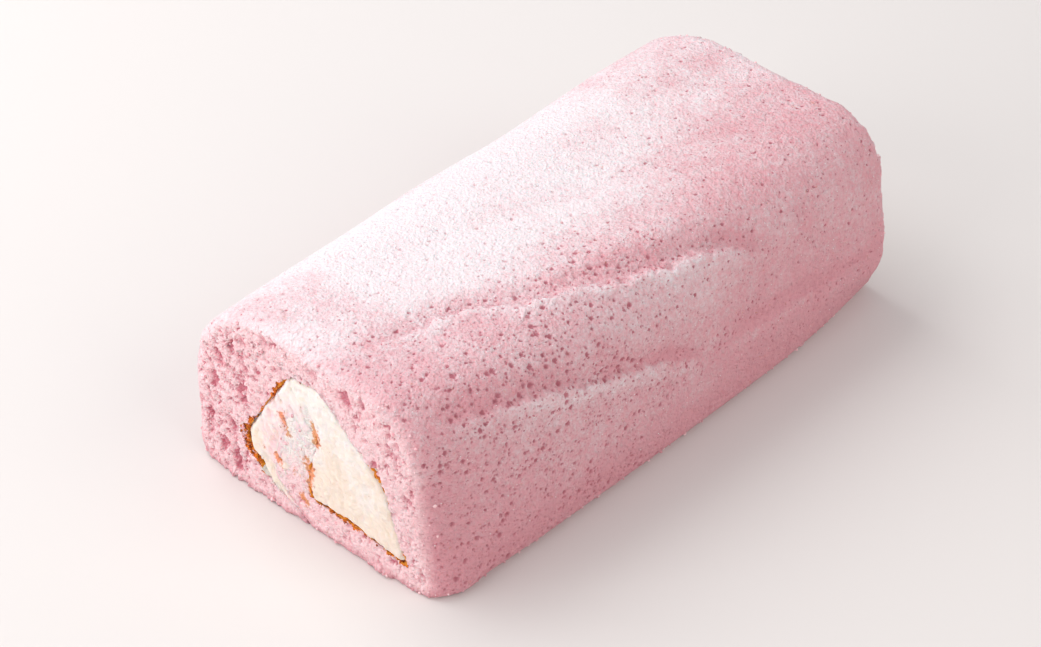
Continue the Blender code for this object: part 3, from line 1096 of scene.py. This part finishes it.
class CAKE_OT_sponge(bpy.types.Operator):
    """Make the sponge sheet with its pores, creases and torn ends"""

    bl_idname = "cake.sponge"
    bl_label = "Sponge"
    SHARE = 190_000

    def execute(self, context):
        sizes, colours = settings()
        coarse = 1.0
        sheet = SheetMesh(sizes.grain / MM * coarse, sizes.rim / MM, sizes.fold_depth / MM)
        rough = link("sponge_rough", sheet.build("sponge_rough"))
        mesh = apply_tree(rough, relief_tree(), {
            "Pore depth": sizes.pore_depth, "Crumb depth": 2.6 * sizes.pore_depth})
        bpy.data.objects.remove(rough)
        piece = link("sponge_roll", mesh)
        triangles = sum(len(p.vertices) - 2 for p in mesh.polygons)
        thin = piece.modifiers.new("thin", "DECIMATE")
        thin.ratio = min(1.0, self.SHARE / triangles / coarse)
        thin.use_collapse_triangulate = True
        piece.data = bake_modifiers(piece)
        lay_bake_map(piece.data)
        piece.data.shade_smooth()
        give(piece, sponge_material(colours))
        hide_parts("sponge")
        print("sponge", triangles, "->", len(piece.data.polygons))
        return {"FINISHED"}


def cream_sections():
    """Outlines of the room inside the sheet, and of that room with the tongue's upper part."""
    outer, outer_along, outer_corner = rounded_path(outside_corners())
    inner, inner_along, inner_corner = rounded_path(inside_corners())
    down = on_path(inner, inner_along, np.arange(0, inner_along[-1] - 0.8, 0.6))
    up = on_path(outer, outer_along, np.arange(outer_corner[4] - 1.5, 0, -0.6))
    over = on_path(inner, inner_along, np.arange(inner_corner[4], inner_along[-1] - 12, 0.6))
    return np.concatenate([down, up]), over


def grow(outline, by):
    """Move an outline's points outwards in its plane, but not below the ground."""
    along = np.roll(outline, -1, axis=0) - np.roll(outline, 1, axis=0)
    along /= np.linalg.norm(along, axis=1, keepdims=True)
    return np.maximum(outline + np.stack([along[:, 1], -along[:, 0]], -1) * by, (-99, 0.4))


def distance_to(outline, points):
    """Distance from points to a closed outline, and which points are inside it."""
    near, inside = np.full(len(points), np.inf), np.zeros(len(points), bool)
    x, z = points.T
    for a, b in zip(outline, np.roll(outline, -1, axis=0)):
        share = np.clip((points - a) @ (b - a) / max((b - a) @ (b - a), 1e-9), 0, 1)
        near = np.minimum(near, np.linalg.norm(points - a - share[:, None] * (b - a), axis=1))
        if a[1] != b[1]:
            crossing = a[0] + (z - a[1]) / (b[1] - a[1]) * (b[0] - a[0])
            inside ^= ((a[1] > z) != (b[1] > z)) & (x < crossing)
    return near, inside


def loft(work, outline, rows, stretch):
    """A closed body through an outline at each row; its two ends are pushed out by stretch."""
    rings = []
    for y in rows:
        ring = place(outline[:, 0], outline[:, 1], np.full(len(outline), float(y)))
        ring[:, 1] += stretch * (float(y == LENGTH) - float(y == 0))
        rings.append([work.verts.new(p) for p in ring])
    for near, far in zip(rings, rings[1:]):
        for i, a in enumerate(near):
            k = (i + 1) % len(near)
            work.faces.new((a, near[k], far[k], far[i]))
    work.faces.new(rings[0][::-1])
    work.faces.new(rings[-1])


class CAKE_OT_cream(bpy.types.Operator):
    """Fill the sheet with whipped cream, which the knife smears over the tongue's cut faces"""

    bl_idname = "cake.cream"
    bl_label = "Cream"
    VOXEL = 0.5
    PROUD = 0.9              # how far the rough shape stands out of the cut ends
    SHARE = 120_000

    def execute(self, context):
        _, colours = settings()
        room, over = cream_sections()
        work = bmesh.new()
        near_end = np.array([0, 1.5, 3, 5, 8, 12, 18, 27])
        rows = [*near_end, *np.linspace(40, LENGTH - 40, 10), *(LENGTH - near_end[::-1])]
        loft(work, grow(room, 0.7), rows, self.PROUD)
        loft(work, grow(over, 0.5), (0, 1.5, 2.6), self.PROUD)
        loft(work, grow(over, 0.5), (LENGTH - 2.6, LENGTH - 1.5, LENGTH), self.PROUD)
        work.normal_update()
        bmesh.ops.triangulate(work, faces=work.faces)
        bmesh.ops.recalc_face_normals(work, faces=work.faces)
        mesh = bpy.data.meshes.new("cream_filling")
        work.to_mesh(mesh)
        work.free()
        piece = link("cream_filling", mesh)
        fine = piece.modifiers.new("fine", "REMESH")
        fine.voxel_size = self.VOXEL * 1
        piece.data = bake_modifiers(piece)
        self.shape_ends(piece.data, over)
        thin = piece.modifiers.new("thin", "DECIMATE")
        thin.ratio = min(1.0, self.SHARE / (2 * len(piece.data.polygons)))
        thin.use_collapse_triangulate = True
        piece.data = bake_modifiers(piece)
        self.mark_tongue(piece.data)
        piece.data.transform(Matrix.Scale(MM, 4))
        piece.data.shade_smooth()
        give(piece, cream_material(colours))
        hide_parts("cream")
        print("cream", len(piece.data.polygons))
        return {"FINISHED"}

    def shape_ends(self, mesh, over):
        """Shape both cut faces of the cream."""
        points = np.zeros(len(mesh.vertices) * 3, np.float32)
        mesh.vertices.foreach_get("co", points)
        points = points.reshape(-1, 3).astype(float)
        for side in (-1, 1):
            share = float(swell(0.0 if side < 0 else LENGTH))
            end = np.nonzero(side * points[:, 1] > LENGTH / 2 - 2.5)[0]
            x = LEFT + (points[end, 0] - LEFT) / (1 + share * (BODY_WIDTH / FACE_WIDTH - 1))
            z = points[end, 2] / (1 + share * (BODY_HEIGHT / FACE_HEIGHT - 1))
            plane = LENGTH / 2 + side * bulge(x, z, 0.0 if side < 0 else LENGTH)
            ahead = side * points[end, 1] - plane
            front = np.clip((ahead + 1.2) / (1.2 + self.PROUD), 0, 1)
            height = self.thickness(x, z, side, over)
            points[end, 1] += side * front * (height - self.PROUD)
        mesh.vertices.foreach_set("co", points.astype(np.float32).ravel())

    def mark_tongue(self, mesh):
        """Store where crumb and browned skin are dragged into the cream of the cut faces."""
        points = np.zeros(len(mesh.vertices) * 3, np.float32)
        mesh.vertices.foreach_get("co", points)
        x, y, z = points.reshape(-1, 3).astype(float).T
        end = np.abs(y) > LENGTH / 2 - 3
        right = np.interp(z, [9, 14, 22, 30, 36, 42], [-1.4, -1.6, -0.8, 1.6, 0.5, -3.0])
        left = np.interp(z, [9, 14, 22, 30, 36, 42], [-14, -20, -22, -22, -20, -16])
        tongue = np.clip((right - x) / 2, 0, 1) * np.clip((x - left) / 4, 0, 1)
        put(mesh, "dragged", tongue * end * np.clip((41 - z) / 8, 0, 1))
        put(mesh, "stain", strokes(STAINS, x, z) * end)

    def thickness(self, x, z, side, over):
        """How far the cream stands out of the cut end's plane; below 0 it is under the crumb."""
        flat = np.stack([x, z], -1)
        wall, inside = distance_to(over, flat)
        streak = np.stack([0.83 * x + 0.55 * z, 0.83 * z - 0.55 * x], -1).tolist()
        drag = np.array([
            0.45 * noise.noise((a / 4, b / 10, side)) + 0.32 * noise.noise((a / 1.5, b / 4, side))
            + 0.32 * noise.noise((a / 1.0, b / 1.4, side)) for a, b in streak])
        patch = np.array([
            noise.noise((a / 2.6, b / 6, 7 + side)) + 0.6 * noise.noise((a / 1.1, b / 2.2, 3 + side))
            for a, b in streak])
        fray = np.array([noise.noise((a / 1.8, b / 1.8, 5 + side)) for a, b in flat.tolist()])
        hollow = 0.2 + 0.3 * np.minimum(skin_width(x, z), 2)
        tail = ~inside & (z < 9.5) & (x < -3)
        sink = np.where(inside, np.exp(-(wall / (0.6 + 0.5 * fray)) ** 2), 1) * hollow
        sink = np.where(tail, 0.3 + 0.5 * fray + 0.4 * np.clip(5 - z, 0, 3), np.where(
            inside, sink, sink + 0.8))
        border = np.interp(z, [9, 14, 22, 30, 36, 40], [-2.4, -2.6, -1.8, 0.6, -1.5, -6.0])
        tongue = np.clip((border - x) / 0.8, 0, 1)
        bare = np.clip(0.7 * (1 - smear_cover(x, z)) + 1.5 * patch, 0, 1)
        return 0.1 + drag - sink - 1.0 * tongue * bare * inside


def litter_on(mesh, values, name):
    """A hidden copy of a mesh that says where small things fall, and its littered area."""
    copy = link(name, mesh.copy())
    put(copy.data, "litter", np.clip(values, 0, None))
    corner = np.zeros(len(mesh.loops), np.int32)
    mesh.loops.foreach_get("vertex_index", corner)
    area = np.zeros(len(mesh.polygons), np.float32)
    mesh.polygons.foreach_get("area", area)
    share = np.clip(values, 0, None)[corner.reshape(-1, 3)].mean(1)
    return copy, float((area * share).sum())


def scatter(name, values, material, subdivisions, given):
    """Strew one kind of small thing over the sponge."""
    sponge = bpy.data.objects["sponge_roll"]
    ground, area = litter_on(sponge.data, values, name + "_ground")
    tree = scatter_tree(name, subdivisions, material)
    mesh = apply_tree(ground, tree, {"Area": area, **given}, name)
    bpy.data.objects.remove(ground)
    piece = link(name, mesh)
    for layer in [a.name for a in mesh.attributes if not (a.is_required or a.is_internal)]:
        mesh.attributes.remove(mesh.attributes[layer])
    piece.data.shade_smooth()
    give(piece, material)
    print(name, len(mesh.polygons))
    return piece


class CAKE_OT_flakes(bpy.types.Operator):
    """Tear bits of browned skin loose along the cream"""

    bl_idname = "cake.flakes"
    bl_label = "Browned flakes"

    def execute(self, context):
        sizes, colours = settings()
        mesh = bpy.data.objects["sponge_roll"].data
        wide = take(mesh, "brown")
        near = np.clip(0.8 * wide + 0.3 - take(mesh, "gap"), 0, 1) * take(mesh, "cut")
        values = near * np.clip(wide - 0.5, 0, 1.5) + 0.3 * np.clip(take(mesh, "stain") - 0.5, 0, 1)
        finish = grain_material("browned_skin", colours.caramel, colours.scorched, 0.8, 0.7)
        scatter("skin_flakes", values, finish, 2, {
            "Count": sizes.flake_count, "Smallest": 0.2 * MM, "Largest": 0.95 * MM,
            "Slimness": 0.6, "Flatness": 0.35, "Ragged": 0.8, "Tilt": 0.8, "Seed": 4})
        return {"FINISHED"}


class CAKE_OT_crumbs(bpy.types.Operator):
    """Leave crumbs on the rims, the torn ends and the foot"""

    bl_idname = "cake.crumbs"
    bl_label = "Crumbs"

    def execute(self, context):
        sizes, colours = settings()
        mesh = bpy.data.objects["sponge_roll"].data
        x, y, z = (take(mesh, "rest") / MM).T
        gap, cut = take(mesh, "gap"), take(mesh, "cut")
        seen = (gap > 2) & (z > 0.4)
        rim = np.exp(-((LENGTH / 2 - np.abs(y)) / 1.6) ** 2) * (1 - cut)
        foot_line = np.exp(-((z - 1.2) / 0.9) ** 2) * (1 - 0.6 * cut)
        values = seen * (0.35 * rim + 0.9 * foot_line + 0.3 * cut * (1 - take(mesh, "smear")))
        finish = grain_material("crumb", colours.crumb, colours.rose, 1.2, 0.9)
        scatter("crumbs", values, finish, 2, {
            "Count": sizes.crumb_count, "Smallest": 0.15 * MM, "Largest": 0.65 * MM,
            "Slimness": 0.75, "Flatness": 0.7, "Ragged": 1.3, "Tilt": 1.2, "Seed": 7})
        return {"FINISHED"}


class CAKE_OT_sugar(bpy.types.Operator):
    """Dust the top with grains of sugar"""

    bl_idname = "cake.sugar"
    bl_label = "Sugar grains"

    def execute(self, context):
        sizes, colours = settings()
        mesh = bpy.data.objects["sponge_roll"].data
        # Grains follow the same share, painted light on the left included.
        values = take(mesh, "dust") * (take(mesh, "cut") < 0.5) * (take(mesh, "gap") > 2)
        finish, tree, shader = new_material("sugar", 0.5, 0.2, (1.0, 1.0, 1.0), 0.5)
        shader.inputs["Base Color"].default_value = colour(colours.sugar)
        scatter("sugar_grains", values, finish, 1, {
            "Count": sizes.grain_count, "Smallest": 0.06 * MM, "Largest": 0.2 * MM,
            "Slimness": 0.8, "Flatness": 0.7, "Ragged": 0.5, "Tilt": 1.0, "Seed": 11})
        return {"FINISHED"}


# ---------------------------------------------------------------- the stage

def aim(thing, spot, target):
    thing.location = spot
    thing.rotation_euler = (Vector(target) - Vector(spot)).to_track_quat("-Z", "Y").to_euler()


def lamp(name, azimuth, elevation, distance, size, power, tint):
    """A square soft light that faces the middle of the roll."""
    light = bpy.data.lights.new(name, "AREA")
    light.size, light.energy, light.color = size, power, tint
    thing = bpy.data.objects.new(name, light)
    bpy.context.scene.collection.objects.link(thing)
    a, e = math.radians(azimuth), math.radians(elevation)
    way = Vector((math.cos(a) * math.cos(e), math.sin(a) * math.cos(e), math.sin(e)))
    aim(thing, way * distance, (0, 0, 0.03))


class CAKE_OT_stage(bpy.types.Operator):
    """Set a pale floor, soft light and the camera"""

    bl_idname = "cake.stage"
    bl_label = "Stage"
    CAMERA_SPOT = (371.3, -420.2, 464.9)
    CAMERA_TURN = (math.radians(90 - 38.7), 0.0, math.radians(42.4))
    LENS = 94.4

    def execute(self, context):
        scene = context.scene
        bpy.ops.mesh.primitive_circle_add(vertices=96, radius=4.0, fill_type="NGON")
        floor = context.object
        floor.name = "floor"
        paint, tree, shader = new_material("pale_floor", 0.8)
        shader.inputs["Base Color"].default_value = (0.73, 0.70, 0.68, 1)
        floor.data.materials.append(paint)
        lamp("window", 192, 50, 0.95, 0.8, 6.7, (1.0, 0.98, 0.985))
        lamp("front_fill", 252, 22, 1.2, 0.9, 6.8, (1.0, 0.98, 0.97))
        lamp("side_fill", 8, 34, 1.2, 1.0, 5.2, (1.0, 0.975, 0.92))
        world = bpy.data.worlds.new("studio")
        scene.world = world
        world.use_nodes = True
        back = world.node_tree.nodes["Background"]
        back.inputs["Color"].default_value = (0.96, 0.96, 1.0, 1)
        back.inputs["Strength"].default_value = 0.5
        camera = bpy.data.cameras.new("camera")
        camera.lens = self.LENS
        camera.clip_start = 0.01
        thing = bpy.data.objects.new("camera", camera)
        scene.collection.objects.link(thing)
        thing.location = Vector(self.CAMERA_SPOT) * MM
        thing.rotation_euler = self.CAMERA_TURN
        scene.camera = thing
        scene.view_settings.view_transform = "Standard"
        return {"FINISHED"}


class CAKE_PT_panel(bpy.types.Panel):
    """Sizes, colours and steps of the cake"""

    bl_idname = "CAKE_PT_panel"
    bl_label = "Swiss Roll Cake"
    bl_space_type = "VIEW_3D"
    bl_region_type = "UI"
    bl_category = "Cake"

    def draw(self, context):
        for group in settings():
            box = self.layout.box()
            for key in group.bl_rna.properties.keys():
                if key not in ("rna_type", "name"):
                    box.prop(group, key)
        for step in STEPS:
            self.layout.operator(step.bl_idname)


STEPS = (CAKE_OT_sponge, CAKE_OT_cream, CAKE_OT_flakes, CAKE_OT_crumbs, CAKE_OT_sugar, CAKE_OT_stage)
CLASSES = (RollSizes, RollColours, *STEPS, CAKE_PT_panel)


def register():
    for item in CLASSES:
        bpy.utils.register_class(item)
    bpy.types.Scene.roll_sizes = PointerProperty(type=RollSizes)
    bpy.types.Scene.roll_colours = PointerProperty(type=RollColours)


def unregister():
    del bpy.types.Scene.roll_colours
    del bpy.types.Scene.roll_sizes
    for item in reversed(CLASSES):
        bpy.utils.unregister_class(item)


def main():
    register()
    for step in STEPS:
        group, name = step.bl_idname.split(".")
        getattr(getattr(bpy.ops, group), name)()
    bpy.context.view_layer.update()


if __name__ == "__main__":
    main()
